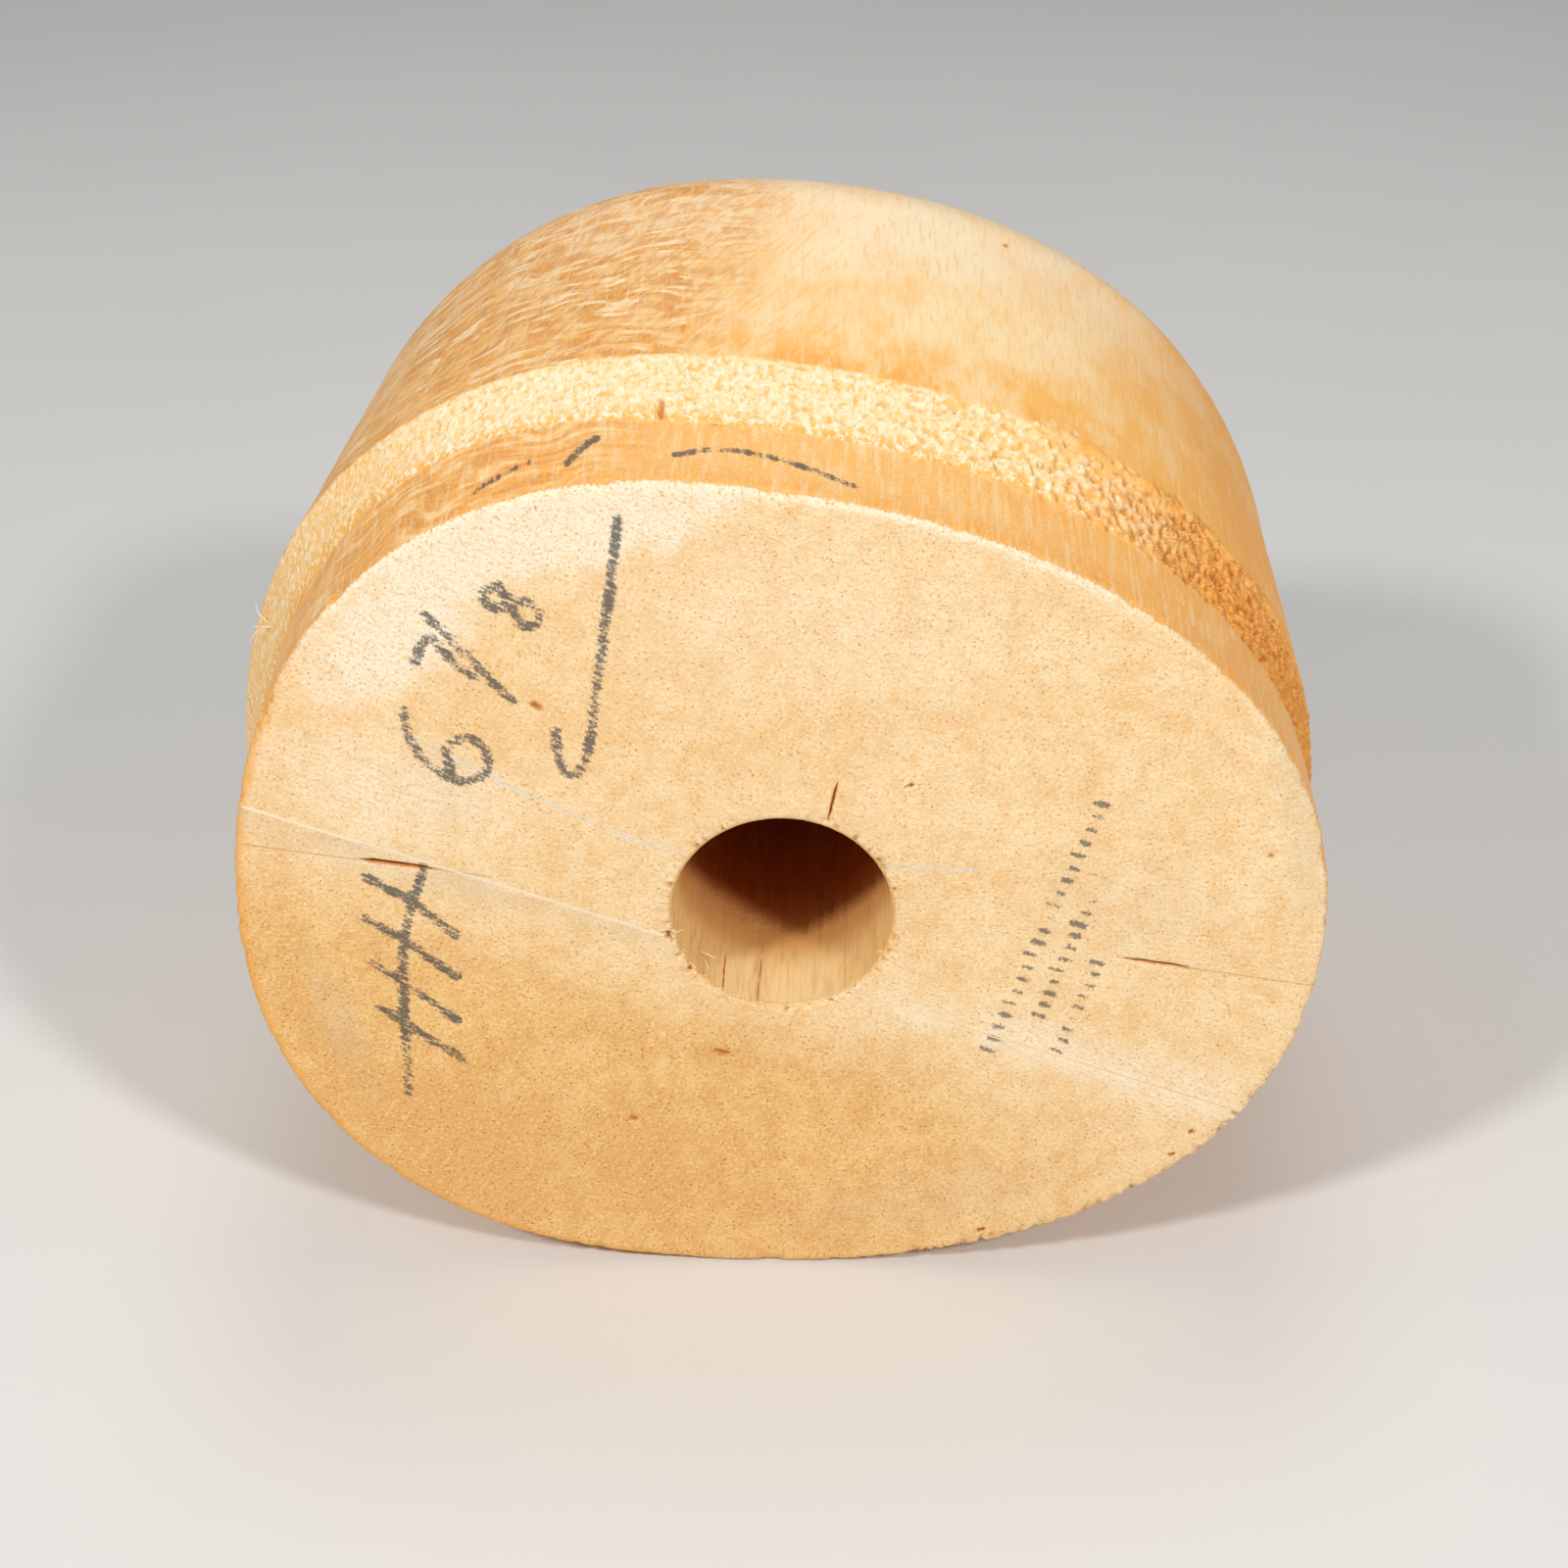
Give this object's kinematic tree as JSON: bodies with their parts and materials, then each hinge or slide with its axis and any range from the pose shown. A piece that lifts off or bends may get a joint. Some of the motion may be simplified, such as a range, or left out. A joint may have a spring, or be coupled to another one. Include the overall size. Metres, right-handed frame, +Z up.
{
  "type": "hat block",
  "caption": "Wooden block that a hat's crown is shaped over, lying on its side, with a flat base bored for a stand's post.",
  "frame": {"origin": "middle of the footprint at floor level, with the block lying on its side as pictured", "axes": "+Z up; -Y out of the flat base and its bore; +Y towards the crown's tip; +X along the head's length, towards the narrower front of the oval"},
  "size_m": [0.1928, 0.1522, 0.1727],
  "materials": {
    "upper_billet_wood": "bare pale wood, sanded and handled",
    "lower_billet_wood": "bare yellower wood, sanded and handled"
  },
  "bodies": {
    "root": {"upper_billet": "upper_billet_wood", "lower_billet": "lower_billet_wood"}
  },
  "joints": []
}
